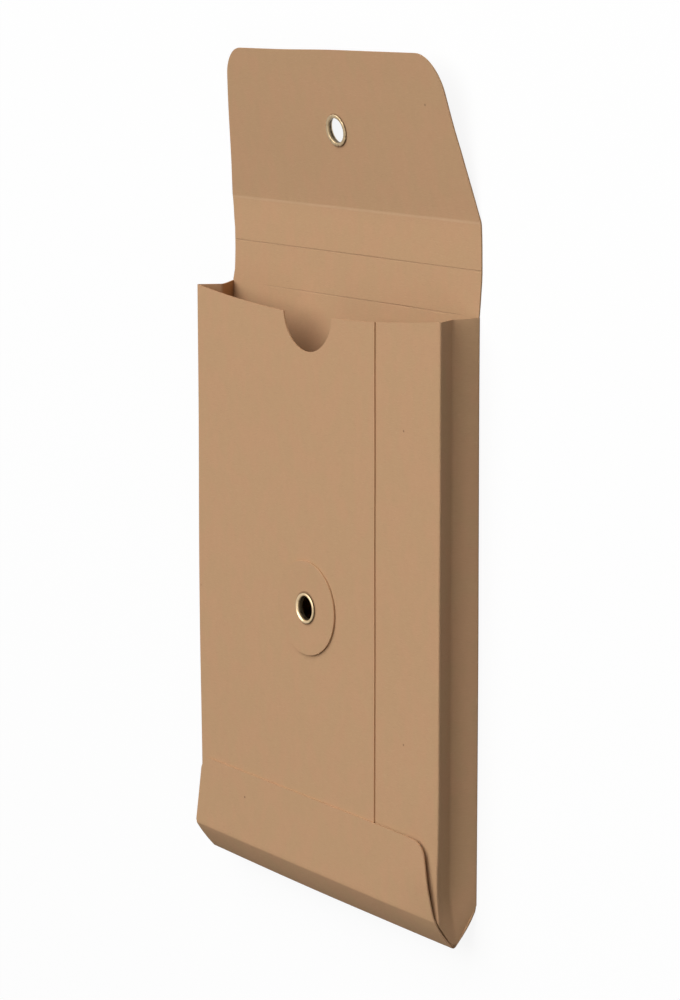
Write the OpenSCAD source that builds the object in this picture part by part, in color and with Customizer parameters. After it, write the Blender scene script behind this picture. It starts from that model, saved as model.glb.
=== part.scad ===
// Kraft board envelope with side gussets, a pointed bottom, a thumb notch and a scored flap that stands open.
// It lies on its back panel: X runs across the pocket, Y from the bottom to the flap, Z out of the front.
// The origin is the middle of the back panel's outer face. All sizes are in millimetres and degrees.

/* [Board] */
// Thickness of the kraft board
board_t = 0.4; // [0.3:0.05:0.6]
// Depth of each score line pressed into the board
score_depth = 0.12; // [0.05:0.01:0.2]
// Radius of the rule that presses the score lines
score_r = 0.6; // [0.4:0.05:1]

/* [Pocket] */
// Width of the pocket between its side folds
pocket_w = 114; // [100:1:160]
// Height of the pocket from the front bottom fold to the mouth
pocket_h = 162; // [140:1:240]
// Depth of the pocket from back to front
pocket_d = 13; // [10:0.5:20]
// Depth to which each side gusset folds inwards
gusset_in = 3.2; // [1.5:0.1:5]

/* [Front seam] */
// Distance of the left panel's glued edge to the right of the middle
seam_x = 28.9; // [20:0.1:40]
// Width of the right strip that is glued under the left panel
seam_overlap = 14; // [10:1:16]

/* [Mouth] */
// Width of the shallow curve cut into the front's top edge
throat_w = 112; // [90:1:112]
// Depth of that curve at its middle
throat_depth = 3.7; // [1:0.1:8]
// Radius of the half-round thumb notch
notch_r = 11.4; // [8:0.1:14]
// Distance of the notch's centre below the mouth
notch_down = 2.9; // [1:0.1:5]

/* [Bottom] */
// Distance of the lowest crease below the front bottom fold
crease_drop = 8.8; // [6:0.1:12]
// Distance of the lowest crease in front of the back face
crease_z = 7; // [5:0.1:9]
// Distance of the rear bottom fold above the front bottom fold
rear_fold_rise = 1; // [0:0.1:3]
// How much wider than the pocket the bottom flap is, on each side
bottom_over = 0.6; // [0:0.1:2]
// Height of the bottom flap that is glued up on the front
bottom_flap_h = 21.4; // [15:0.1:30]
// How far each side of the bottom flap draws in at its top
bottom_flap_taper = 4; // [1:0.1:8]
// Radius of the bottom flap's corners
bottom_flap_r = 6; // [3:0.1:9]
// How far the notch and the bottom flap lie to the left of the middle
front_left = 2.2; // [0:0.1:4]

/* [Flap] */
// Length of a flap past its crease before its sides draw in
flap_straight = 0.8; // [0.4:0.1:3]
// Distance from the mouth crease to the second crease
spine_first = 12.1; // [8:0.1:16]
// Distance from the second crease to the third crease
spine_second = 12.4; // [8:0.1:16]
// Length of the flap past the third crease
tip_l = 43.8; // [36:0.1:60]
// How far each side of the flap draws in at its tip
tip_taper = 9.4; // [4:0.1:14]
// Radius of the flap's corners
tip_r = 9.5; // [5:0.1:14]
// Angle at which the flap rises past the third crease
tip_lean = 11; // [0:1:20]

/* [Washers and eyelets] */
// Diameter of the round card washers
washer_d = 26.8; // [24:0.1:30]
// Thickness of the card washers
washer_t = 0.5; // [0.4:0.05:0.8]
// Height of the front washer's centre above the front bottom fold
washer_up = 75.5; // [50:0.5:100]
// How far the front washer lies to the left of the middle
washer_left = 2.8; // [0:0.1:5]
// Distance of the flap washer's centre from the third crease
flap_washer_up = 21.9; // [16:0.1:26]
// Diameter of the hole through an eyelet
eyelet_hole_d = 6.4; // [5:0.1:7]
// Diameter of an eyelet's rolled flange
eyelet_flange_d = 9.5; // [8.8:0.1:11]
// Diameter of an eyelet's clinched end
eyelet_clinch_d = 9; // [8.6:0.1:10]
// Wall of an eyelet's barrel
eyelet_wall = 0.35; // [0.25:0.05:0.5]
// Height of the rolled flange and of the clinched end
eyelet_roll_h = 0.8; // [0.6:0.05:1]
// Gap between an eyelet's barrel and the board around it
eyelet_gap = 0.05; // [0.02:0.01:0.1]

/* [Hidden] */
$fn = 96;

half_w = pocket_w / 2;
mouth_y = pocket_h / 2;
fold_y = -pocket_h / 2;
bottom_w = pocket_w + 2 * bottom_over;
third_crease_y = mouth_y + spine_first + spine_second;
barrel_r = eyelet_hole_d / 2 + eyelet_wall;
punch_r = barrel_r + eyelet_gap;
stack_t = board_t + washer_t;

// Room that cutting solids reach past what they cut
past = 20;
low_y = fold_y - crease_drop - past;
high_y = mouth_y + past;

kraft = [0.73, 0.58, 0.44];
kraft_card = [0.71, 0.56, 0.42];
brass_gold = [0.80, 0.68, 0.42];

// Corners of the pointed bottom in the YZ plane, on the outside of the bottom flap's strips
front_fold = [fold_y, pocket_d + board_t];
lowest_crease = [fold_y - crease_drop, crease_z];
rear_fold = [fold_y + rear_fold_rise, 0];

function unit(v) = v / norm(v);
function cross2(a, b) = a.x * b.y - a.y * b.x;
function meet(p, a, q, b) = p + a * cross2(q - p, b) / cross2(a, b);

front_run = unit(front_fold - lowest_crease);
rear_run = unit(rear_fold - lowest_crease);
front_in = [front_run.y, -front_run.x];
rear_in = [-rear_run.y, rear_run.x];

// The lowest crease of a layer that lies deeper inside by the given distance
function crease_at(inset) =
    meet(lowest_crease + inset * front_in, front_run, lowest_crease + inset * rear_in, rear_run);
function along(p, run, z) = p + run * (z - p.y) / run.y;

// Side of the pocket at height z: the gusset's wall runs from the back to the valley and out to the front
function gusset_x(z, front_z) =
    half_w - gusset_in * (z < pocket_d / 2 ? z / (pocket_d / 2) : (front_z - z) / (front_z - pocket_d / 2));
wall_across = board_t * sqrt(1 + pow(gusset_in / (pocket_d / 2), 2));
function inner_x(z, front_z) = gusset_x(z, front_z) - wall_across;

// Carries a shape drawn in XZ along Y, and one drawn in YZ along X
module along_y(from, to) translate([0, to, 0]) rotate([90, 0, 0]) linear_extrude(height = to - from) children();
module along_x(from, to) translate([from, 0, 0]) rotate([90, 0, 90]) linear_extrude(height = to - from) children();

// Cross-section of the pocket from outside: the right strip lies one board lower than the left panel
module pocket_outline() polygon([
    [-half_w, 0], [half_w, 0], [half_w - gusset_in, pocket_d / 2],
    [half_w, pocket_d - board_t], [seam_x, pocket_d - board_t], [seam_x, pocket_d],
    [-half_w, pocket_d], [-half_w + gusset_in, pocket_d / 2]
]);

// Cross-section of the space inside the pocket
module pocket_space() {
    left_front = pocket_d - board_t;
    right_front = pocket_d - 2 * board_t;
    polygon([
        [-inner_x(board_t, pocket_d), board_t], [inner_x(board_t, pocket_d), board_t],
        [inner_x(pocket_d / 2, left_front), pocket_d / 2],
        [inner_x(right_front, left_front), right_front],
        [seam_x - seam_overlap, right_front], [seam_x - seam_overlap, left_front],
        [-inner_x(left_front, pocket_d), left_front], [-inner_x(pocket_d / 2, pocket_d), pocket_d / 2]
    ]);
}

// Everything above the pointed bottom, which lies inside its outer faces by the given distance
module above_bottom(inset) {
    crease = crease_at(inset);
    top_z = pocket_d + past;
    along_x(-pocket_w, pocket_w) polygon([
        crease, along(crease, front_run, top_z), [high_y + past, top_z],
        [high_y + past, -past], along(crease, rear_run, -past)
    ]);
}

// Flap outline: its base runs along X, its sides draw in by taper past a short straight, its far corners are round
module flap_outline(w, l, taper, r) {
    slant = [taper, l - flap_straight];
    centre = [w / 2 - taper * (1 - r / slant.y) - r * norm(slant) / slant.y, l - r];
    side = centre + r * unit([slant.y, slant.x]);
    polygon([
        [-w / 2, 0], [w / 2, 0], [w / 2, flap_straight], side, [centre.x, l],
        [-centre.x, l], [-side.x, side.y], [-w / 2, flap_straight]
    ]);
    for (sign = [-1, 1]) translate([sign * centre.x, centre.y]) circle(r = r);
}

module pocket() difference() {
    intersection() {
        along_y(low_y, mouth_y) pocket_outline();
        above_bottom(board_t);
    }
    intersection() {
        along_y(low_y, high_y) pocket_space();
        above_bottom(2 * board_t);
    }
}

// The strips under the pocket and the flap glued up on its front, all one tongue of the back panel
module bottom_tongue() translate([-front_left, 0, 0]) {
    difference() {
        intersection() {
            above_bottom(0);
            translate([-bottom_w / 2, low_y, 0]) cube([bottom_w, high_y - low_y, pocket_d + board_t]);
        }
        above_bottom(board_t);
    }
    translate([0, fold_y, pocket_d]) linear_extrude(height = board_t)
        flap_outline(bottom_w, bottom_flap_h, bottom_flap_taper, bottom_flap_r);
}

// Places what belongs to the raised part of the flap
module on_flap() translate([0, third_crease_y, 0]) rotate([tip_lean, 0, 0]) children();

// Side view of the open flap: flat on the ground up to the third crease, then raised
module flap_profile() {
    along_tip = [cos(tip_lean), sin(tip_lean)];
    across_tip = [-along_tip.y, along_tip.x];
    outer_end = [third_crease_y, 0] + tip_l * along_tip;
    polygon([
        [mouth_y, 0], [third_crease_y, 0], outer_end, outer_end + board_t * across_tip,
        [third_crease_y - board_t * tan(tip_lean / 2), board_t], [mouth_y, board_t]
    ]);
}

module closing_flap() difference() {
    along_x(-half_w, half_w) flap_profile();
    on_flap() translate([0, 0, -past]) linear_extrude(height = 2 * past) difference() {
        translate([-pocket_w, flap_straight]) square([2 * pocket_w, tip_l + past]);
        flap_outline(pocket_w, tip_l, tip_taper, tip_r);
    }
}

// Shallow curve and thumb notch in the front's top edge
module mouth_cut() {
    throat_r = (pow(throat_w / 2, 2) + pow(throat_depth, 2)) / (2 * throat_depth);
    cut_z = pocket_d - 2.5 * board_t;
    translate([0, mouth_y - throat_depth + throat_r, cut_z]) cylinder(r = throat_r, h = past, $fn = 360);
    translate([-front_left, mouth_y - notch_down, cut_z]) cylinder(r = notch_r, h = past);
}

// Score line pressed into the inner face of the back panel or the flap, out to reach on both sides
module score(y, reach) translate([-reach, y, board_t + score_r - score_depth])
    rotate([0, 90, 0]) cylinder(r = score_r, h = 2 * reach);

module on_front_washer() translate([-washer_left, fold_y + washer_up, pocket_d]) children();
module on_flap_washer() on_flap() translate([0, flap_washer_up, 0]) children();

module envelope() color(kraft) difference() {
    union() {
        pocket();
        bottom_tongue();
        closing_flap();
    }
    mouth_cut();
    score(mouth_y, inner_x(pocket_d / 2, pocket_d));
    for (y = [mouth_y + spine_first, third_crease_y]) score(y, pocket_w);
    on_front_washer() translate([0, 0, -2 * board_t]) cylinder(r = punch_r, h = 3 * board_t);
    on_flap_washer() translate([0, 0, -board_t]) cylinder(r = punch_r, h = 3 * board_t);
}

module washer() color(kraft_card) difference() {
    cylinder(d = washer_d, h = washer_t);
    translate([0, 0, -washer_t]) cylinder(r = punch_r, h = 3 * washer_t);
}

// A roll of brass from the hole's wall out to the given radius, in the plane that is turned about the axis
module roll(outer_r) {
    half_h = eyelet_roll_h / 2;
    inner = eyelet_hole_d / 2 + half_h;
    translate([inner, -half_h]) square([outer_r - half_h - inner, eyelet_roll_h]);
    for (x = [inner, outer_r - half_h]) translate([x, 0]) circle(r = half_h, $fn = 32);
}

// Eyelet set through a washer and the board: flange above the washer's face at z = 0, clinched end below
module eyelet() color(brass_gold) rotate_extrude() {
    flange_z = eyelet_roll_h / 2;
    clinch_z = -stack_t - eyelet_roll_h / 2;
    translate([0, flange_z]) roll(eyelet_flange_d / 2);
    translate([0, clinch_z]) roll(eyelet_clinch_d / 2);
    translate([eyelet_hole_d / 2, clinch_z]) square([eyelet_wall, flange_z - clinch_z]);
}

module front_washer() on_front_washer() washer();
module front_eyelet() on_front_washer() translate([0, 0, washer_t]) eyelet();
module flap_washer() on_flap_washer() translate([0, 0, -washer_t]) washer();
module flap_eyelet() on_flap_washer() translate([0, 0, -washer_t]) rotate([180, 0, 0]) eyelet();

envelope();
front_washer();
front_eyelet();
flap_washer();
flap_eyelet();
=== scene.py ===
import math

import bmesh
import bpy
from mathutils import Matrix, Vector, noise


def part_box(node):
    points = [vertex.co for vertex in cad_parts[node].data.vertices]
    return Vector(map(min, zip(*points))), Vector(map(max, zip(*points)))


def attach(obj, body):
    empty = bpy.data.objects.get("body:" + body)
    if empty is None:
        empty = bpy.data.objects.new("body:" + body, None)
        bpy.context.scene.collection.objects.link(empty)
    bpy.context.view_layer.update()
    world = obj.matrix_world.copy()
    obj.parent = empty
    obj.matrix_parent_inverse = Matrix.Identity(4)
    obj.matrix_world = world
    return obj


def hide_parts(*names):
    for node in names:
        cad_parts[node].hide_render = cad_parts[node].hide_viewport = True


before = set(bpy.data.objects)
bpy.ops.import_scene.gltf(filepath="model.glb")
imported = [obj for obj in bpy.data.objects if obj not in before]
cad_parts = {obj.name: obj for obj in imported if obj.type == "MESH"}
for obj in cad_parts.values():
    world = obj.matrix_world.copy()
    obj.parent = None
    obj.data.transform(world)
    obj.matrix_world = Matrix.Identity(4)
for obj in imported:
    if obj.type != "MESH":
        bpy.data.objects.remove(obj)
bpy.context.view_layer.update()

mm = 0.001  # every length in the dictionaries is in millimetres, in the part's own frame

cameraSizes = dict(
    place=(636.74, 171.18, 468.51),
    aim=(1.41, 24.88, 4.61),
    roll=-0.09,  # degrees
    lens=103.49,
    film=36,
)


def makeCamera():
    place = Vector(cameraSizes["place"]) * mm
    back = (place - Vector(cameraSizes["aim"]) * mm).normalized()
    right = Vector((0, 1, 0)).cross(back).normalized()
    turn = Matrix((right, back.cross(right), back)).transposed()
    turn = turn @ Matrix.Rotation(math.radians(cameraSizes["roll"]), 3, "Z")
    data = bpy.data.cameras.new("camera")
    data.sensor_width = cameraSizes["film"]
    data.lens = cameraSizes["lens"]
    data.clip_start = 0.01
    data.clip_end = 20
    camera = bpy.data.objects.new("camera", data)
    camera.matrix_world = Matrix.Translation(place) @ turn.to_4x4()
    bpy.context.scene.collection.objects.link(camera)
    bpy.context.scene.camera = camera


makeCamera()
print("camera placed")


# One link or number in a material, so that shader maths reads as plain expressions
class Value:
    def __init__(self, nodes, socket):
        self.nodes = nodes
        self.socket = socket

    def math(self, operation, *others):
        return self.nodes.add("ShaderNodeMath", dict(operation=operation), [self, *others])

    def __add__(self, other):
        return self.math("ADD", other)

    def __sub__(self, other):
        return self.math("SUBTRACT", other)

    def __rsub__(self, other):
        return self.nodes.add("ShaderNodeMath", dict(operation="SUBTRACT"), [other, self])

    def __mul__(self, other):
        return self.math("MULTIPLY", other)

    __radd__ = __add__
    __rmul__ = __mul__

    def atLeast(self, other):
        return self.math("MAXIMUM", other)

    def atMost(self, other):
        return self.math("MINIMUM", other)

    # 0 up to low, 1 from high on, smooth in between
    def ramp(self, low, high):
        settings = dict(interpolation_type="SMOOTHSTEP")
        inputs = {"Value": self, "From Min": low, "From Max": high}
        return self.nodes.add("ShaderNodeMapRange", settings, inputs, "Result")

    # 1 up to low from a middle, 0 from high on, all in millimetres
    def close(self, middle, low, high):
        return 1 - (self - middle * mm).math("ABSOLUTE").ramp(low * mm, high * mm)


# Node tree of a material or world, where add() makes a node of any type, with its settings and inputs
class Nodes:
    def __init__(self, owner):
        owner.use_nodes = True
        self.owner = owner
        self.tree = owner.node_tree

    def add(self, kind, settings=None, inputs=None, output=0):
        node = self.tree.nodes.new(kind)
        for name, value in (settings or {}).items():
            setattr(node, name, value)
        pairs = inputs.items() if isinstance(inputs, dict) else enumerate(inputs or [])
        for key, value in pairs:
            self.feed(node.inputs[key], value)
        return Value(self, node.outputs[output])

    def feed(self, socket, value):
        if isinstance(value, Value):
            self.tree.links.new(value.socket, socket)
        elif socket.type == "RGBA" and len(value) == 3:
            socket.default_value = (*value, 1)
        else:
            socket.default_value = value

    # Sets the material's own shader
    def set(self, **values):
        shader = self.tree.nodes["Principled BSDF"]
        for name, value in values.items():
            self.feed(shader.inputs[name.replace("_", " ")], value)

    def place(self, scale=(1, 1, 1), turn=0):
        point = self.add("ShaderNodeTexCoord", output="Object")
        inputs = {"Vector": point, "Rotation": (0, 0, math.radians(turn)), "Scale": scale}
        return self.add("ShaderNodeMapping", {}, inputs)

    # 1 for what the camera sees, also in metal or through glass, 0 for what lights the object
    def seen(self):
        path = self.add("ShaderNodeLightPath").socket.node
        rays = ("Is Camera Ray", "Is Glossy Ray", "Is Transmission Ray")
        camera, glossy, through = (Value(self, path.outputs[ray]) for ray in rays)
        return camera.atLeast(glossy).atLeast(through)

    # Noise with features of about the given size in millimetres, along X, Y and Z
    def noise(self, size, detail=2, rough=0.5, turn=0):
        size = size if isinstance(size, tuple) else (size, size, size)
        point = self.place(tuple(1 / (s * mm) for s in size), turn)
        inputs = {"Vector": point, "Scale": 1.0, "Detail": detail, "Roughness": rough}
        return self.add("ShaderNodeTexNoise", {}, inputs, "Fac")

    # 1 up to the first radius from a place, 0 from the second on, with the radii in millimetres
    def spot(self, place, radii):
        inputs = [self.place(), place]
        away = self.add("ShaderNodeVectorMath", dict(operation="DISTANCE"), inputs, "Value")
        return 1 - away.ramp(*(radius * mm for radius in radii))

    def mix(self, factor, first, second):
        node = self.add("ShaderNodeMix", dict(data_type="RGBA")).socket.node
        self.feed(node.inputs["Factor"], factor)
        self.feed(node.inputs[6], first)
        self.feed(node.inputs[7], second)
        return Value(self, node.outputs[2])

    # The colour times a number that varies over the surface
    def shade(self, colour, amount):
        node = self.add("ShaderNodeVectorMath", dict(operation="SCALE")).socket.node
        self.feed(node.inputs[0], colour)
        self.feed(node.inputs["Scale"], amount)
        return Value(self, node.outputs[0])

    def bump(self, height, depth):
        inputs = {"Height": height, "Distance": depth * mm, "Strength": 1.0}
        return self.add("ShaderNodeBump", {}, inputs, "Normal")


kraftLook = dict(
    board=(1.0, 0.86),  # shade and roughness, as for the cut edges, creases and card
    cut=(1.08, 0.95),
    # darker in the pressed creases: the darker tone of pressed fibres, with painted shade on top
    score=(0.84, 0.8),
    card=(0.985, 0.86),
    gloss=0.25,
    colour=(0.500, 0.300, 0.165),
    warm=(0.518, 0.294, 0.162),
    green=(0.480, 0.300, 0.158),
    evenness=0.6,  # at 1 the warm and green blotches are gone
    fleck=(0.16, 0.085, 0.04),
    paleFibre=(0.62, 0.41, 0.25),
    darkFibre=(0.33, 0.185, 0.095),
    blotch=(6.5, 11.0, 6.5),
    cloud=(2.2, 4.5, 2.2),
    grain=0.35,
    tooth=0.16,
    tone=(0.955, 0.06, 0.03),  # the least, and what clouds and grain add to it
    paleFibres=((20, 1.9, 0.10, 0.60, 0.72), (-63, 1.5, 0.09, 0.62, 0.73)),  # angle, length, width, ramp
    darkFibres=((74, 1.7, 0.09, 0.62, 0.74), (-24, 2.1, 0.10, 0.64, 0.75)),
    paleShare=0.22,
    darkShare=0.25,
    fibreDepth=0.02,
    fleckGap=9.0,
    fleckShare=0.7,
    flecksAt=((41.3, 135.5, 6.0), (41.1, 50.2, 12.6), (41.4, -35.4, 12.6), (-33.9, -67.7, 13.4)),
    fleckR=(0.18, 0.5),
    creaseHighlightY=105.5,  # where a pale line of painted highlight lies along the flap's third crease
    creaseHighlightW=(0.1, 0.55),
    shadedCreaseY=-88.6,  # below this the lowest crease is darkened with painted shade
    shadedCreaseZ=7.0,
    shadedCreaseW=(0.35, 1.1),
    paintedShadeShare=0.55,
    shadowRingR=(4.6, 5.0),  # dark ring of painted contact shadow round an eyelet
)

# Middles of the two eyelets, round which a dark ring of painted contact shadow lies on what they sit on
shadowRingPlaces = [(low + high) / 2 for low, high in (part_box("front_washer"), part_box("flap_washer"))]


# Thin fibres that lie at two angles: 1 on a fibre, 0 beside it
def fibres(nodes, kinds):
    first, second = (nodes.noise((length, width, length), 1.5, 0.45, turn).ramp(low, high)
                     for turn, length, width, low, high in kinds)
    return first.atLeast(second)


# Dark flecks: some in a few cells of a random pattern, and some at given places
def flecksOn(nodes):
    look = kraftLook
    cells = nodes.place(tuple(1 / (look["fleckGap"] * mm * k) for k in (1, 1.3, 1)), 31)
    cell = nodes.add("ShaderNodeTexVoronoi", dict(feature="F1"), {"Vector": cells, "Scale": 1.0})
    rare = nodes.add("ShaderNodeSeparateColor", {}, [Value(nodes, cell.socket.node.outputs["Color"])])
    fleck = (1 - cell.ramp(0.010, 0.022)) * rare.ramp(0.80, 0.82)
    for place in look["flecksAt"]:
        fleck = fleck.atLeast(nodes.spot(Vector(place) * mm, look["fleckR"]))
    return fleck


# Painted shade along the lowest crease, and painted contact shadow round the eyelets
def paintedShadeOn(nodes, up, high):
    look = kraftLook
    below = 1 - (up - look["shadedCreaseY"] * mm).ramp(-0.4 * mm, 0.4 * mm)
    paintedShade = high.close(look["shadedCreaseZ"], *look["shadedCreaseW"]) * below
    for place in shadowRingPlaces:
        paintedShade = paintedShade.atLeast(nodes.spot(place, look["shadowRingR"]))
    return paintedShade


def makeKraft(name, shade, rough):
    look = kraftLook
    nodes = Nodes(bpy.data.materials.new(name))
    hue = nodes.noise(look["blotch"], 2, 0.5)
    colour = nodes.mix(hue.ramp(0.40, 0.62), look["green"], look["warm"])
    colour = nodes.mix(look["evenness"], colour, look["colour"])
    cloud = nodes.noise(look["cloud"], 4, 0.6)
    grain = nodes.noise(look["grain"], 3, 0.6)
    least, cloudy, grainy = look["tone"]
    colour = nodes.shade(colour, (least + cloudy * cloud + grainy * grain) * shade)
    pale = fibres(nodes, look["paleFibres"])
    dark = fibres(nodes, look["darkFibres"])
    colour = nodes.mix(pale * look["paleShare"], colour, look["paleFibre"])
    colour = nodes.mix(dark * look["darkShare"], colour, look["darkFibre"])
    colour = nodes.mix(flecksOn(nodes) * look["fleckShare"], colour, look["fleck"])
    parts = nodes.add("ShaderNodeSeparateXYZ", {}, [nodes.place()]).socket.node
    up, high = Value(nodes, parts.outputs["Y"]), Value(nodes, parts.outputs["Z"])
    creaseHighlight = up.close(look["creaseHighlightY"], *look["creaseHighlightW"])
    # a pale line of painted highlight along the flap's third crease
    colour = nodes.mix(creaseHighlight * (0.15 + 0.4 * hue), colour, look["paleFibre"])
    # painted shade along the lowest crease and painted contact shadow round the eyelets, in the flecks'
    # dark colour
    colour = nodes.mix(paintedShadeOn(nodes, up, high) * look["paintedShadeShare"], colour, look["fleck"])
    height = 0.5 * cloud + 0.6 * grain + 0.5 * pale - 0.3 * dark + nodes.noise(look["tooth"], 2) * 0.4
    nodes.set(Base_Color=colour, Roughness=rough - 0.06 * pale + 0.05 * grain)
    nodes.set(Specular_IOR_Level=look["gloss"], Normal=nodes.bump(height, look["fibreDepth"]))
    return nodes.owner


kraftBoard = makeKraft("kraftBoard", *kraftLook["board"])
kraftCut = makeKraft("kraftCut", *kraftLook["cut"])
kraftPressedAndShaded = makeKraft("kraftPressedAndShaded", *kraftLook["score"])
kraftCard = makeKraft("kraftCard", *kraftLook["card"])

brassLook = dict(
    colour=(0.64, 0.48, 0.29),
    tarnish=(0.40, 0.29, 0.15),
    tarnishShare=0.55,
    # near-black brown of the painted shade on the brass
    shadeAndGrime=(0.036, 0.025, 0.012),
    stain=1.3,
    scratch=(0.9, 0.06, 0.9),
    scratchTurn=35,
    scratchDepth=0.004,
    polish=0.27,  # roughness of clean brass
)


def makeBrass():
    look = brassLook
    nodes = Nodes(bpy.data.materials.new("paleBrass"))
    stain = nodes.noise(look["stain"], 3, 0.6).ramp(0.45, 0.75)
    scratch = nodes.noise(look["scratch"], 2, 0.5, look["scratchTurn"])
    # painted shade, as the eyelet's attribute lays it on
    shadeAndGrime = nodes.add("ShaderNodeAttribute", dict(attribute_name="shadeAndGrime"), output="Fac")
    shadeAndGrime = shadeAndGrime * (0.85 + 0.3 * stain)
    colour = nodes.mix(stain * look["tarnishShare"], look["colour"], look["tarnish"])
    colour = nodes.mix(shadeAndGrime.atMost(1.0), colour, look["shadeAndGrime"])
    nodes.set(Base_Color=colour, Metallic=1.0, Normal=nodes.bump(scratch, look["scratchDepth"]))
    nodes.set(Roughness=look["polish"] + 0.08 * stain + 0.06 * scratch + 0.2 * shadeAndGrime)
    return nodes.owner


paleBrass = makeBrass()
print("materials made")


def pickOnly(piece):
    if bpy.context.mode != "OBJECT":
        bpy.ops.object.mode_set(mode="OBJECT")
    bpy.ops.object.select_all(action="DESELECT")
    piece.select_set(True)
    bpy.context.view_layer.objects.active = piece


def startEdit(piece):
    pickOnly(piece)
    bpy.ops.object.mode_set(mode="EDIT")
    bpy.ops.mesh.select_all(action="DESELECT")


def near(value, other, reach=0.01):
    return abs(value - other) < reach


# Selects vertices, edges by both ends, or faces by their centre; the test gets points in millimetres
def pick(kind, test):
    bpy.ops.mesh.select_mode(type=kind)
    bpy.ops.mesh.select_all(action="DESELECT")
    mesh = bmesh.from_edit_mesh(bpy.context.edit_object.data)
    if kind == "VERT":
        found = [vertex for vertex in mesh.verts if test(vertex.co / mm)]
    elif kind == "EDGE":
        found = [edge for edge in mesh.edges if all(test(vertex.co / mm) for vertex in edge.verts)]
    else:
        found = [face for face in mesh.faces if test(face.calc_center_median() / mm)]
    for item in found:
        item.select_set(True)
    bmesh.update_edit_mesh(bpy.context.edit_object.data)


def extrude(x, y, z):
    bpy.ops.mesh.extrude_edges_move(TRANSFORM_OT_translate={"value": (x * mm, y * mm, z * mm)})


def move(x, y, z):
    bpy.ops.transform.translate(value=(x * mm, y * mm, z * mm))


def widen(scale, middle=0.0):
    bpy.ops.transform.resize(value=(scale, 1, 1), center_override=(middle * mm, 0, 0))


def bevel(width, segments, affect="EDGES"):
    bpy.ops.mesh.bevel(offset=width * mm, segments=segments, affect=affect, clamp_overlap=True)


# Cuts what is selected by a plane
def bisect(place, normal):
    place = tuple(value * mm for value in place)
    bpy.ops.mesh.bisect(plane_co=place, plane_no=normal, threshold=0.00001)


def applyModifier(piece, kind, **settings):
    pickOnly(piece)
    modifier = piece.modifiers.new(kind, kind)
    for name, value in settings.items():
        setattr(modifier, name, value)
    bpy.ops.object.modifier_apply(modifier=modifier.name)


lowCorner, highCorner = (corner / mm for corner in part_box("envelope"))

envelopeSizes = dict(
    boardT=0.4,
    halfW=highCorner.x,
    layerGap=0.03,  # air between two glued layers
    rearX=highCorner.x + 0.5,  # where the fold's two faces would meet, outside its rounding
    frontX=(highCorner.x + 0.3, highCorner.x + 0.15),  # left and right
    valleyX=53.8,
    valleyZ=6.5,
    rearW=0.7,  # bevel widths of the folds
    frontW=0.85,
    valleyW=0.6,
    foldSteps=5,
    mouthY=81.0,
    mouthSag=0.42,  # the front's upper edge ends this much lower than the back's
    rearFoldY=-79.3,
    rearFoldW=0.6,
    frontFoldY=-81.6,
    frontFoldW=0.35,
    spareL=14,  # the front is made this much too long, and trimmed to the pointed bottom
    flatFrom=-74.0,  # the gussets open out flat between these two heights
    flatTo=-88.5,
    flatShare=0.85,
    seamX=28.5,
    underlapX=14.9,
    lowCreaseY=lowCorner.y - 0.5,
    lowCreaseZ=7.0,
    lowCreaseW=1.15,
    innerFlapL=9.1,
    innerFlapShare=0.97,  # its end is this much narrower, so that it clears the gussets
    tongueStart=0.08,  # share of its way down over which it widens
    tongueLow=(-59.0, 56.4),  # its ends at the lowest crease
    tongueHigh=(-59.9, 56.0),  # and at the fold above it
    tongueBulge=0.3,
    rearBulge=0.67,
    creaseSag=0.35,
    flapLift=0.38,  # the bottom flap's right edge stands proud
    bottomFlapH=21.4,
    bottomFlapTaper=4.0,
    bottomFlapCorner=4.2,
    reliefX=0.1,
    reliefY=0.2,
    spineFirst=12.1,
    spineSecond=12.4,
    thirdCreaseW=0.7,
    tipL=43.8,
    tipTaper=9.2,
    tipCorners=((-1, 7.6), (1, 10.0)),
    tipRise=0.35,  # its end curves up a little towards the right
    tipLean=11.0,
    tipBend=3.0,  # length over which the flap's sides turn inwards
    gridX=3.0,
    gridY=3.0,
    gridOffX=0.37,  # keeps the grid's cuts off the folds
    gridOffY=0.41,
    gridZ=(1.9, 3.6, 9.4, 11.2),
    throatW=112,
    throatDrop=3.7,
    throatX=-1.0,
    throatFrom=42.0,
    notchX=-2.2,
    notchDown=2.9,
    notchR=11.4,
    punchR=3.6,
    creaseR=0.36,
)

# Pressed creases across the flap: height, left end, deepest point, right end, depth
creaseLines = [(81.0, -55.0, 26.0, 56.3, 0.10), (93.1, -70.0, 10.0, 70.0, 0.10)]

# Play of the hand-folded sheet, as (height, amount) points up the envelope
flapLeft = [(81.0, 0.0), (84.0, 0.9), (90.0, 1.25), (96.0, 1.15), (102.0, 0.45),
            (106.5, -0.2), (110.0, 0.05), (116.0, 0.15), (130.0, 0.1), (148.5, 0.5)]
flapRight = [(81.0, 0.0), (84.5, 0.35), (87.0, 0.6), (92.0, 1.0), (98.0, 0.95),
             (105.0, 0.85), (110.0, 0.63), (123.0, 0.43), (130.0, 0.2), (148.5, 0.5)]
leftBulge = [(-81.0, 0.35), (-14.0, 0.72), (81.0, 0.15)]
rearSpread = [(-81.0, 0.45), (-10.0, 0.40), (60.0, 0.0)]
rightDraw = [(-84.0, 1.5), (-48.0, 0.0)]  # draws in the front fold of the right strip
flapDraw = [(-82.0, 0.45), (-30.0, 0.0)]  # and the bottom flap's right edge
stripRise = [(-82.0, -0.6), (-66.0, 0.08), (-50.0, 0.43)]  # the right strip, up to the left panel's level
flapHeights = [(-82.0, -0.35), (-70.0, 0.43)]


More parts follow.
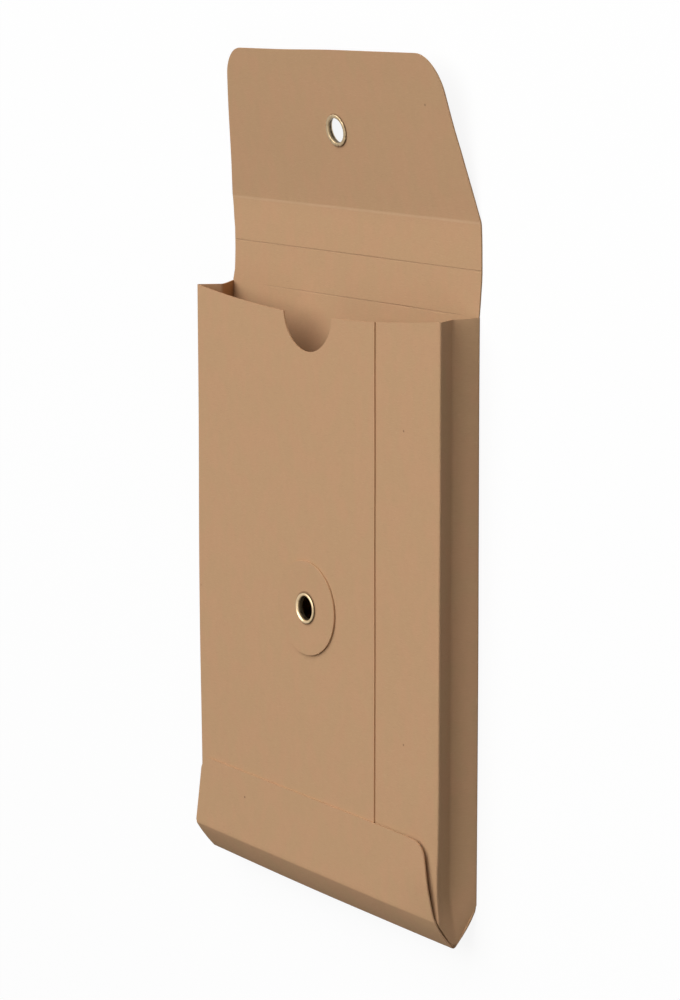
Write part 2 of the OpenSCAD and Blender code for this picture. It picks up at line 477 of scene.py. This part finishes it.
# Planes of the pointed bottom, inside the tongue: a point, the normal into the pocket, the run along it
def bottomPlanes(inset):
    s = envelopeSizes
    frontZ = highCorner.z
    low = Vector((0, s["lowCreaseY"], s["lowCreaseZ"]))
    planes = {}
    for name, end in (("front", (s["frontFoldY"], frontZ)), ("rear", (s["rearFoldY"], 0))):
        run = (Vector((0, *end)) - low).normalized()
        inward = Vector((1, 0, 0)).cross(run)
        inward = inward if inward.y > 0 else -inward
        planes[name] = (low + inward * inset, inward, run)
    return planes


def foldSides():
    s = envelopeSizes
    rearX = s["rearX"]
    leftZ = highCorner.z - s["boardT"]
    rightZ = leftZ - s["boardT"] - s["layerGap"]
    length = s["mouthY"] - s["rearFoldY"]
    place = (0, (s["mouthY"] + s["rearFoldY"]) / 2 * mm, 0)
    bpy.ops.mesh.primitive_plane_add(size=1, location=place)
    piece = bpy.context.object
    piece.name = "kraft_envelope"
    piece.scale = (2 * rearX * mm, length * mm, 1)
    bpy.ops.object.transform_apply(location=True, rotation=True, scale=True)
    startEdit(piece)
    sides = [(-1, s["frontX"][0], leftZ, s["seamX"]), (1, s["frontX"][1], rightZ, s["underlapX"])]
    for side, frontX, frontZ, panelEnd in sides:
        pick("EDGE", lambda p: near(p.x, side * rearX) and near(p.z, 0))
        extrude(side * (s["valleyX"] - rearX), 0, s["valleyZ"])
        extrude(side * (frontX - s["valleyX"]), 0, frontZ - s["valleyZ"])
        extrude(panelEnd - side * frontX, 0, 0)
    pick("VERT", lambda p: near(p.y, s["rearFoldY"]) and p.z > 1)
    move(0, -s["spareL"], 0)
    for side, frontX, frontZ, panelEnd in sides:
        pick("EDGE", lambda p: near(p.x, side * rearX) and near(p.z, 0))
        bevel(s["rearW"], s["foldSteps"])
        pick("EDGE", lambda p: near(p.x, side * frontX) and near(p.z, frontZ))
        bevel(s["frontW"], s["foldSteps"])
        pick("EDGE", lambda p: near(p.x, side * s["valleyX"]) and near(p.z, s["valleyZ"]))
        bevel(s["valleyW"], s["foldSteps"])
    return piece


# Trims gussets and front to the pointed bottom, and folds the front's ends down along it
def closeBottom(piece):
    s = envelopeSizes
    planes = bottomPlanes(s["boardT"] + s["layerGap"])
    place, inward, run = planes["front"]
    trim(place, inward)
    stripZ = highCorner.z - 2 * s["boardT"] - s["layerGap"]
    pick("FACE", lambda c: c.x > s["underlapX"] and near(c.z, stripZ))
    bisect((s["seamX"] + 0.3, 0, 0), (1, 0, 0))
    pick("EDGE", lambda p: near((p - place).dot(inward), 0)
         and (near(p.z, highCorner.z - s["boardT"]) or near(p.z, stripZ) and p.x > s["seamX"] + 0.2))
    extrude(*(-run * s["innerFlapL"]))
    widen(s["innerFlapShare"])
    trim(*planes["rear"][:2])


# Cuts all but the back panel by a plane, and deletes what lies outside it
def trim(place, inward):
    pick("FACE", lambda c: c.z > 0.001)
    bisect(place, inward)
    pick("FACE", lambda c: c.z > 0.001 and (c - place).dot(inward) < 0)
    bpy.ops.mesh.delete(type="FACE")


def foldTongue():
    s = envelopeSizes
    outZ = highCorner.z + s["layerGap"]
    startX = s["rearX"] - s["rearW"]
    deepY, deepZ = s["lowCreaseY"] - s["rearFoldY"], s["lowCreaseZ"]
    pick("EDGE", lambda p: near(p.y, s["rearFoldY"]) and near(p.z, 0))
    extrude(0, deepY * s["tongueStart"], deepZ * s["tongueStart"])
    widen(s["halfW"] / startX)
    extrude(0, deepY * (1 - s["tongueStart"]), deepZ * (1 - s["tongueStart"]))
    for side, end in zip((-1, 1), s["tongueLow"]):
        pick("VERT", lambda p: p.x * side > 0 and near(p.y, s["lowCreaseY"]))
        move(end - side * s["halfW"], 0, 0)
    pick("EDGE", lambda p: near(p.y, s["lowCreaseY"]))
    extrude(0, s["frontFoldY"] - s["lowCreaseY"], outZ - s["lowCreaseZ"])
    for side, low, high in zip((-1, 1), s["tongueLow"], s["tongueHigh"]):
        pick("VERT", lambda p: p.x * side > 0 and near(p.y, s["frontFoldY"]) and near(p.z, outZ))
        move(high - low, 0, 0)
    pick("EDGE", lambda p: near(p.y, s["frontFoldY"]) and near(p.z, outZ))
    extrude(0, s["bottomFlapH"], 0)
    left, right = s["tongueHigh"]
    widen(1 - 2 * s["bottomFlapTaper"] / (right - left), (right + left) / 2)
    topY = s["frontFoldY"] + s["bottomFlapH"]
    pick("VERT", lambda p: near(p.y, topY) and near(p.z, outZ))
    bevel(s["bottomFlapCorner"], 10, "VERTICES")
    folds = [("rearFoldY", 0, "rearFoldW", 3), ("frontFoldY", outZ, "frontFoldW", 3),
             ("lowCreaseY", s["lowCreaseZ"], "lowCreaseW", 6)]
    for y, z, width, steps in folds:
        pick("EDGE", lambda p: near(p.y, s[y]) and near(p.z, z))
        bevel(s[width], steps)


def thirdCreaseY():
    s = envelopeSizes
    return s["mouthY"] + s["spineFirst"] + s["spineSecond"]


def foldFlap():
    s = envelopeSizes
    lean = math.radians(s["tipLean"])
    relief = s["rearX"] - s["rearW"] - s["reliefX"]
    for side in (1, -1):
        pick("FACE", lambda c: c.z < 0.001)
        bisect((side * relief, 0, 0), (1, 0, 0))
    pick("EDGE", lambda p: near(p.y, s["mouthY"]) and near(p.z, 0) and abs(p.x) < relief + 0.01)
    extrude(0, s["reliefY"], 0)
    widen(s["halfW"] / relief)
    extrude(0, s["spineFirst"] - s["reliefY"], 0)
    extrude(0, s["spineSecond"], 0)
    extrude(0, s["tipL"] * math.cos(lean), s["tipL"] * math.sin(lean))
    thirdY = thirdCreaseY()
    tipY = thirdY + s["tipL"] * math.cos(lean)
    for side, corner in s["tipCorners"]:
        pick("VERT", lambda p: near(p.y, tipY) and near(p.x, side * s["halfW"]))
        bevel(corner, 14, "VERTICES")
    pick("EDGE", lambda p: near(p.y, thirdY))
    bevel(s["thirdCreaseW"], 3)


# Cuts the whole sheet into a fine grid, so that it can curve
def gridSheet():
    s = envelopeSizes
    count = int(highCorner.x / s["gridX"])
    for step in range(-count, count + 1):
        bpy.ops.mesh.select_all(action="SELECT")
        bisect((step * s["gridX"] + s["gridOffX"], 0, 0), (1, 0, 0))
    first = int(lowCorner.y / s["gridY"])
    last = int(highCorner.y / s["gridY"])
    rows = [step * s["gridY"] + s["gridOffY"] for step in range(first, last + 1)]
    rows += [line[0] + side * s["creaseR"] * 1.25 for line in creaseLines for side in (-1, 1)]
    for y in rows:
        bpy.ops.mesh.select_all(action="SELECT")
        bisect((0, y, 0), (0, 1, 0))
    for height in s["gridZ"]:
        bpy.ops.mesh.select_all(action="SELECT")
        bisect((0, 0, height), (0, 0, 1))


# Half width of the flap at a distance past its third crease, as a share of the full one
def flapShare(distance):
    s = envelopeSizes
    inward = (distance + math.sqrt(distance ** 2 + s["tipBend"] ** 2)) / 2
    return 1 - s["tipTaper"] / s["tipL"] * inward / s["halfW"]


def smooth(low, high, value):
    share = min(1, max(0, (value - low) / (high - low)))
    return share * share * (3 - 2 * share)


# A curve through (place, amount) points, level at each of them
def along(points, value):
    for (low, first), (high, second) in zip(points, points[1:]):
        if value <= high:
            return first + (second - first) * smooth(low, high, value)
    return points[-1][1]


def shapeFlap(p):
    s = envelopeSizes
    p.x *= flapShare((p.y - thirdCreaseY()) / math.cos(math.radians(s["tipLean"])))
    right = (p.x / s["halfW"] + 1) / 2
    p.x += along(flapLeft, p.y) * (1 - right) + along(flapRight, p.y) * right
    p.y += s["tipRise"] * smooth(125, 148, p.y) * smooth(-25, 5, p.x) * smooth(58, 42, p.x)


# How far the bottom flap stands off the strip below it, towards its right edge
def flapRise(p):
    rise = along(flapHeights, p.y) * smooth(envelopeSizes["seamX"] + 2, 55, p.x)
    return rise + envelopeSizes["flapLift"] * smooth(40, 55, p.x) * smooth(-84, -77, p.y)


def shapePocket(p):
    s = envelopeSizes
    front = smooth(s["valleyZ"], 12, p.z)
    onFlap = p.z > highCorner.z + 0.01
    if onFlap:
        p.z += flapRise(p)
    elif p.x > s["seamX"]:  # the right strip and its gusset
        p.z += along(stripRise, p.y) * smooth(s["seamX"] + 2, 55, p.x) * front
    if p.x > s["seamX"]:
        p.x -= along(flapDraw if onFlap else rightDraw, p.y) * smooth(30, 55, p.x) * front
    else:
        p.x -= along(leftBulge, p.y) * smooth(-20, -56, p.x) * front
    if p.y < s["flatFrom"] and abs(p.x) > 53 and 0.3 < p.z < 12.3:
        share = smooth(s["flatFrom"], s["flatTo"], p.y) * s["flatShare"]
        p.x += (math.copysign(s["halfW"], p.x) - p.x) * share
    across = (p.x - s["throatX"]) / (s["throatW"] / 2)
    throat = s["throatDrop"] * max(0, 1 - across ** 2) if p.z > 11.5 else 0
    p.y -= (throat + s["mouthSag"] * smooth(0, 5, p.z)) * smooth(s["throatFrom"], s["mouthY"], p.y)


def shapeTongue(p):
    s = envelopeSizes
    p.y -= s["creaseSag"] * max(0, 1 - (p.x / 57) ** 2) * smooth(s["frontFoldY"], -88, p.y)
    p.z += flapRise(p) * smooth(11.5, highCorner.z, p.z)


# The two faces of the bottom bulge out, and so do the gussets' ends behind them
def bottomBulge(p, planes):
    s = envelopeSizes
    bulge = Vector()
    for name, end, amount in (("front", highCorner.z, s["tongueBulge"]), ("rear", 0, s["rearBulge"])):
        place, inward, run = planes[name]
        share = (p - place).dot(run) * run.z / (end - s["lowCreaseZ"])
        if 0 < share < 1 and (p - place).dot(inward) < 0.1:
            bulge -= inward * amount * 4 * share * (1 - share)
    return bulge


def shapeSheet(piece):
    s = envelopeSizes
    planes = bottomPlanes(s["boardT"])
    for vertex in piece.data.vertices:
        p = vertex.co / mm
        inside = all((p - place).dot(inward) > 0 for place, inward, run in planes.values())
        bulge = bottomBulge(p, planes)
        if p.y > s["mouthY"] + 0.01:
            shapeFlap(p)
        else:
            if p.x > 0:
                p.x += along(rearSpread, p.y) * smooth(30, 56, p.x) * smooth(s["valleyZ"], 1, p.z)
            if inside:
                shapePocket(p)
            else:
                shapeTongue(p)
        vertex.co = (p + bulge) * mm


def cutAway(piece, cutter, material):
    cutter.data.materials.append(material)
    settings = dict(operation="DIFFERENCE", solver="EXACT", object=cutter, material_mode="TRANSFER")
    applyModifier(piece, "BOOLEAN", **settings)
    bpy.data.objects.remove(cutter)


def addRod(place, radius, length, turn=(0, 0, 0), sides=96):
    place = tuple(value * mm for value in place)
    bpy.ops.mesh.primitive_cylinder_add(
        vertices=sides, radius=radius * mm, depth=length * mm, location=place, rotation=turn)
    return bpy.context.object


# Place of the flap past its third crease
def flapTurn():
    third = Vector((0, thirdCreaseY(), 0)) * mm
    return Matrix.Translation(third) @ Matrix.Rotation(math.radians(envelopeSizes["tipLean"]), 4, "X")


# A thin rod along a crease, whose ends rise out of the board, so that the pressed line fades out
def addCreaseRod(y, left, deepest, right, depth):
    s = envelopeSizes
    middle = ((left + right) / 2, y, s["boardT"] + s["creaseR"] - depth)
    rod = addRod(middle, s["creaseR"], right - left, (0, math.radians(90), 0), 56)
    pickOnly(rod)
    bpy.ops.object.transform_apply(location=True, rotation=True, scale=True)
    startEdit(rod)
    bpy.ops.mesh.select_all(action="SELECT")
    bisect((deepest, 0, 0), (1, 0, 0))
    pick("VERT", lambda p: near(p.x, left) or near(p.x, right))
    move(0, 0, depth + 0.02 if abs(left) < s["halfW"] else depth * 0.6)
    bpy.ops.object.mode_set(mode="OBJECT")
    return rod


def cutSheet(piece):
    s = envelopeSizes
    frontZ = highCorner.z
    cutAway(piece, addRod((s["notchX"], s["mouthY"] - s["notchDown"], frontZ), s["notchR"], 3), kraftCut)
    washer = [(corner / mm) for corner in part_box("front_washer")]
    middle = (washer[0] + washer[1]) / 2
    cutAway(piece, addRod((middle.x, middle.y, frontZ), s["punchR"], 3), kraftCut)
    flapHole = addRod((0, 0, 0), s["punchR"], 3)
    flapHole.matrix_world = flapHolePlace()
    cutAway(piece, flapHole, kraftCut)
    for line in creaseLines:
        # the crease grooves take the darker material: pressed fibres and painted shade
        cutAway(piece, addCreaseRod(*line), kraftPressedAndShaded)


# Middle of the flap's hole, as far up from the third crease as the frame has the eyelet
def flapHolePlace():
    low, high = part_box("flap_eyelet")
    middle = flapTurn().inverted() @ ((low + high) / 2)
    return flapTurn() @ Matrix.Translation((0, middle.y, 0))


relaxSizes = dict(
    seed=7,
    swellL=46,  # length of one swell
    start=(3.1, 7.7, 1.9),
    sideways=0.10,
    upwards=0.16,
    flatZ=0.5,  # below this the board lies flat on the ground, and above looseZ it is free to swell
    looseZ=4,
)
noise.seed_set(relaxSizes["seed"])  # without it, each run would draw another unevenness


# Slow unevenness of relaxed board, the same for all pieces, so that they stay seated
def relax(piece):
    s = relaxSizes
    for vertex in piece.data.vertices:
        p = vertex.co / mm
        swell = noise.noise_vector(p / s["swellL"] + Vector(s["start"]))
        lift = smooth(s["flatZ"], s["looseZ"], p.z)
        vertex.co += Vector((s["sideways"] * swell.x, 0.0, s["upwards"] * swell.z * lift)) * mm


def makeEnvelope():
    s = envelopeSizes
    piece = foldSides()
    closeBottom(piece)
    foldTongue()
    foldFlap()
    gridSheet()
    bpy.ops.object.mode_set(mode="OBJECT")
    shapeSheet(piece)
    startEdit(piece)
    bpy.ops.mesh.select_all(action="SELECT")
    bpy.ops.mesh.remove_doubles(threshold=0.07 * mm)
    bpy.ops.mesh.normals_make_consistent(inside=False)
    bpy.ops.object.mode_set(mode="OBJECT")
    back = min(piece.data.polygons, key=lambda face: face.center.length)
    if back.normal.z > 0:
        startEdit(piece)
        bpy.ops.mesh.select_all(action="SELECT")
        bpy.ops.mesh.flip_normals()
        bpy.ops.object.mode_set(mode="OBJECT")
    piece.data.materials.append(kraftBoard)
    piece.data.materials.append(kraftCut)
    settings = dict(thickness=s["boardT"] * mm, offset=-1, use_even_offset=True, use_quality_normals=True)
    applyModifier(piece, "SOLIDIFY", material_offset_rim=1, **settings)
    cutSheet(piece)
    relax(piece)
    pickOnly(piece)
    bpy.ops.object.shade_smooth_by_angle(angle=math.radians(32))
    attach(piece, "root")
    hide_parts("envelope")
    return piece


envelope = makeEnvelope()
print("envelope folded:", len(envelope.data.polygons), "faces")


# Sweeps a closed outline of radius and height round the Z axis, ring by ring
def turnRings(name, outline, sides):
    radius, height = outline[0]
    bpy.ops.mesh.primitive_circle_add(vertices=sides, radius=radius * mm, location=(0, 0, height * mm))
    piece = bpy.context.object
    piece.name = name
    bpy.ops.object.transform_apply(location=True)
    startEdit(piece)
    bpy.ops.mesh.select_mode(type="EDGE")
    bpy.ops.mesh.select_all(action="SELECT")
    for nextRadius, nextHeight in outline[1:]:
        extrude(0, 0, nextHeight - height)
        scale = nextRadius / radius
        bpy.ops.transform.resize(value=(scale, scale, 1), center_override=(0, 0, nextHeight * mm))
        radius, height = nextRadius, nextHeight
    ends = (outline[0], outline[-1])
    pick("EDGE", lambda p: any(near(p.xy.length, r, 0.004) and near(p.z, z, 0.004) for r, z in ends))
    bpy.ops.mesh.bridge_edge_loops()
    bpy.ops.mesh.select_all(action="SELECT")
    bpy.ops.mesh.normals_make_consistent(inside=False)
    bpy.ops.object.mode_set(mode="OBJECT")
    return piece


# Points of an arc of an ellipse about a middle, between two angles in degrees
def arc(middle, radii, start, end, steps):
    angles = [math.radians(start + (end - start) * step / steps) for step in range(steps + 1)]
    return [(middle[0] + radii[0] * math.cos(a), middle[1] + radii[1] * math.sin(a)) for a in angles]


washerSizes = dict(
    thickness=0.5,
    holeR=3.6,
    edgeR=0.07,
    lift=0.15,  # how far the rim stands off the board
    liftFrom=5,
    liftTurn=1.2,  # turns the side that stands off most, in radians
    rings=7,
    sides=144,
)


def makeWasher(name, outerR):
    s = washerSizes
    half = s["thickness"] / 2
    flat = outerR - s["holeR"] - s["edgeR"]
    run = [(s["holeR"] + flat * k / s["rings"], 0) for k in range(s["rings"] + 1)]
    top = [(r, s["thickness"]) for r, z in run]
    rim = arc((outerR - s["edgeR"], half), (s["edgeR"], half), 60, -60, 4)
    piece = turnRings(name, [*top, *rim, *reversed(run)], s["sides"])
    for vertex in piece.data.vertices:
        p = vertex.co / mm
        share = smooth(s["liftFrom"], outerR, p.xy.length)
        angle = math.atan2(p.y, p.x)
        vertex.co.z += s["lift"] * share * (0.55 + 0.45 * math.cos(angle + s["liftTurn"])) * mm
    piece.data.materials.append(kraftCard)
    piece.data.materials.append(kraftCut)
    for face in piece.data.polygons:
        face.material_index = int(abs(face.normal.z) < 0.6)
    return piece


eyeletSizes = dict(
    frontHoleR=3.2,
    flapHoleR=3.42,
    wall=0.15,
    flangeR=4.4,
    clinchR=4.45,
    rollH=0.6,
    clinchH=0.5,
    stack=0.9,
    sides=96,
    funnel=((0, -0.55), (0.04, -0.3), (0.12, -0.05), (0.22, 0.2), (0.36, 0.43)),  # past the bore, height
    domeZ=0.22,  # how far the widest line of the flange is off its seat
    curlZ=0.24,  # and that of the clinched curl
    domeEdgeZ=0.13,
    curlEdgeZ=0.1,
    edgeIn=0.03,
    seatIn=0.22,
    seatGap=0.03,
    boreShade=(0.05, 0.36),  # painted shade fades between these heights, in the bore, on the flange and on the curl
    rimShade=(0.34, 0.58),
    curlShade=(0.15, 0.48),
    # least darkening anywhere on the clinched end
    clinchDarkness=0.42,
    splits=(0.4, 1.5, 2.35, 3.5, 4.5, 5.6),  # angles in radians where the clinched end has split
    splitW=0.05,
    splitPull=0.06,
    splitLift=0.08,
    # painted shade in the splits of the clinched end
    splitShade=0.7,
    wave=0.012,  # unevenness of the clinched end, as a share of its radius
)


# How much painted shade the brass gets at a point: most in the bore, and beside what it sits on; the
# clinched end never gets less than a set share
def shadeAndGrimeAt(p, middle):
    s = eyeletSizes
    proud = max(p.z, -s["stack"] - p.z)  # height above the board or the washer
    if p.xy.length < middle:
        darkness = 1 - smooth(*s["boreShade"], proud)
    else:
        darkness = 0.9 - 0.9 * smooth(*s["rimShade" if p.z > 0 else "curlShade"], proud)
    return max(darkness, s["clinchDarkness"]) if p.z < -s["stack"] else darkness


# Flange above z = 0, barrel through the stack, clinched roll below it
def makeEyelet(name, holeR):
    s = eyeletSizes
    outer = holeR + s["wall"]
    flangeMid = (holeR + s["flangeR"]) / 2
    flangeHalf = (s["flangeR"] - holeR) / 2
    funnel = [(holeR + r, z) for r, z in s["funnel"]]
    dome = arc((flangeMid, s["domeZ"]), (flangeHalf, s["rollH"] - s["domeZ"]), 90, 0, 9)
    lip = [(s["flangeR"] - s["edgeIn"], s["domeEdgeZ"]), (s["flangeR"] - s["seatIn"], s["seatGap"]),
           (outer, 0.0)]
    clinchMid = (holeR + s["clinchR"]) / 2
    clinchHalf = (s["clinchR"] - holeR) / 2
    low = -s["stack"] - s["curlZ"]
    curl = arc((clinchMid, low), (clinchHalf, s["clinchH"] - s["curlZ"]), 0, -180, 14)
    under = [(outer, -s["stack"]), (s["clinchR"] - s["seatIn"], -s["stack"] - s["seatGap"]),
             (s["clinchR"] - s["edgeIn"], low + s["curlEdgeZ"])]
    piece = turnRings(name, [*funnel, *dome, *lip, *under, *curl], s["sides"])
    # painted shade per point: in the bore, at the feet of flange and curl, and in the splits
    shadeAndGrime = piece.data.attributes.new("shadeAndGrime", "FLOAT", "POINT")
    for vertex in piece.data.vertices:
        p = vertex.co / mm
        darkness = shadeAndGrimeAt(p, clinchMid)
        if p.z < -s["stack"] + 0.01 and p.xy.length > outer + 0.01:
            angle = math.atan2(p.y, p.x) % math.tau
            split = max(math.exp(-((angle - at) / s["splitW"]) ** 2) for at in s["splits"])
            pull = 1 - s["splitPull"] * split * (p.xy.length - outer) / (s["clinchR"] - outer)
            wave = 1 + s["wave"] * math.sin(3 * angle + 0.7)
            vertex.co.x *= pull * wave
            vertex.co.y *= pull * wave
            vertex.co.z += s["splitLift"] * split * mm
            darkness = max(darkness, s["splitShade"] * split)
        shadeAndGrime.data[vertex.index].value = darkness
    piece.data.materials.append(paleBrass)
    return piece


def seat(piece, place, node):
    pickOnly(piece)
    piece.matrix_world = place
    bpy.ops.object.transform_apply(location=True, rotation=True, scale=True)
    relax(piece)
    pickOnly(piece)
    bpy.ops.object.shade_smooth_by_angle(angle=math.radians(35))
    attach(piece, "root")
    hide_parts(node)


def makeClosure():
    low, high = (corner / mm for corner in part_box("front_washer"))
    middle = (low + high) / 2
    outerR = (high.x - low.x) / 2
    thickness = washerSizes["thickness"]
    frontPlace = Matrix.Translation(Vector((middle.x, middle.y, low.z)) * mm)
    onTop = Matrix.Translation((0, 0, thickness * mm))
    flapPlace = flapHolePlace() @ Matrix.Rotation(math.pi, 4, "X")
    seat(makeWasher("front_card_washer", outerR), frontPlace, "front_washer")
    frontEyelet = makeEyelet("front_brass_eyelet", eyeletSizes["frontHoleR"])
    seat(frontEyelet, frontPlace @ onTop, "front_eyelet")
    seat(makeWasher("flap_card_washer", outerR), flapPlace, "flap_washer")
    flapEyelet = makeEyelet("flap_brass_eyelet", eyeletSizes["flapHoleR"])
    seat(flapEyelet, flapPlace @ onTop, "flap_eyelet")


makeClosure()
print("washers and eyelets set")

studioLook = dict(
    floorSize=6.0,  # metres, as all lengths here
    floorDown=0.00003,
    floorGrey=0.37,  # for the light that the floor throws back on the object
    floorPale=0.95,  # for the camera
    glow=0.90,
    skyLevel=0.004,
    skyColour=(0.90, 0.96, 1.0),
    middle=(0, 0.02, 0),  # what the softboxes look at
    key=((-0.06, 0.60, 0.79), 2.4, 3.6, 94.5),  # direction, distance, size, watts
    fill=((0.74, -0.25, 0.64), 1.3, 0.9, 2.7),
)


def makeFloor():
    look = studioLook
    bpy.ops.mesh.primitive_plane_add(size=look["floorSize"], location=(0, 0, -look["floorDown"]))
    floor = bpy.context.object
    floor.name = "floor"
    nodes = Nodes(bpy.data.materials.new("paleFloor"))
    seen = nodes.seen()
    colour = nodes.mix(seen, (look["floorGrey"],) * 3, (look["floorPale"],) * 3)
    surface = nodes.add("ShaderNodeBsdfDiffuse", {}, {"Color": colour})
    glow = nodes.add("ShaderNodeEmission", {}, {"Color": (1, 1, 1), "Strength": 1.0})
    both = nodes.add("ShaderNodeMixShader", {}, [seen * look["glow"], surface, glow])
    nodes.feed(nodes.tree.nodes["Material Output"].inputs["Surface"], both)
    floor.data.materials.append(nodes.owner)


def makeSky():
    look = studioLook
    world = bpy.data.worlds.new("studio")
    bpy.context.scene.world = world
    nodes = Nodes(world)
    sky = tuple(channel * look["skyLevel"] for channel in look["skyColour"])
    background = nodes.tree.nodes["Background"]
    nodes.feed(background.inputs["Color"], nodes.mix(nodes.seen(), sky, (1, 1, 1)))
    nodes.feed(background.inputs["Strength"], 1)


def addSoftbox(name, toward, away, size, power):
    data = bpy.data.lights.new(name, "AREA")
    data.shape = "DISK"
    data.size = size
    data.energy = power
    lamp = bpy.data.objects.new(name, data)
    toward = Vector(toward).normalized()
    lamp.location = Vector(studioLook["middle"]) + toward * away
    lamp.rotation_euler = toward.to_track_quat("Z", "Y").to_euler()
    bpy.context.scene.collection.objects.link(lamp)


makeFloor()
makeSky()
addSoftbox("keySoftbox", *studioLook["key"])
addSoftbox("fillSoftbox", *studioLook["fill"])
bpy.context.scene.view_settings.view_transform = "Standard"
print("studio lit")
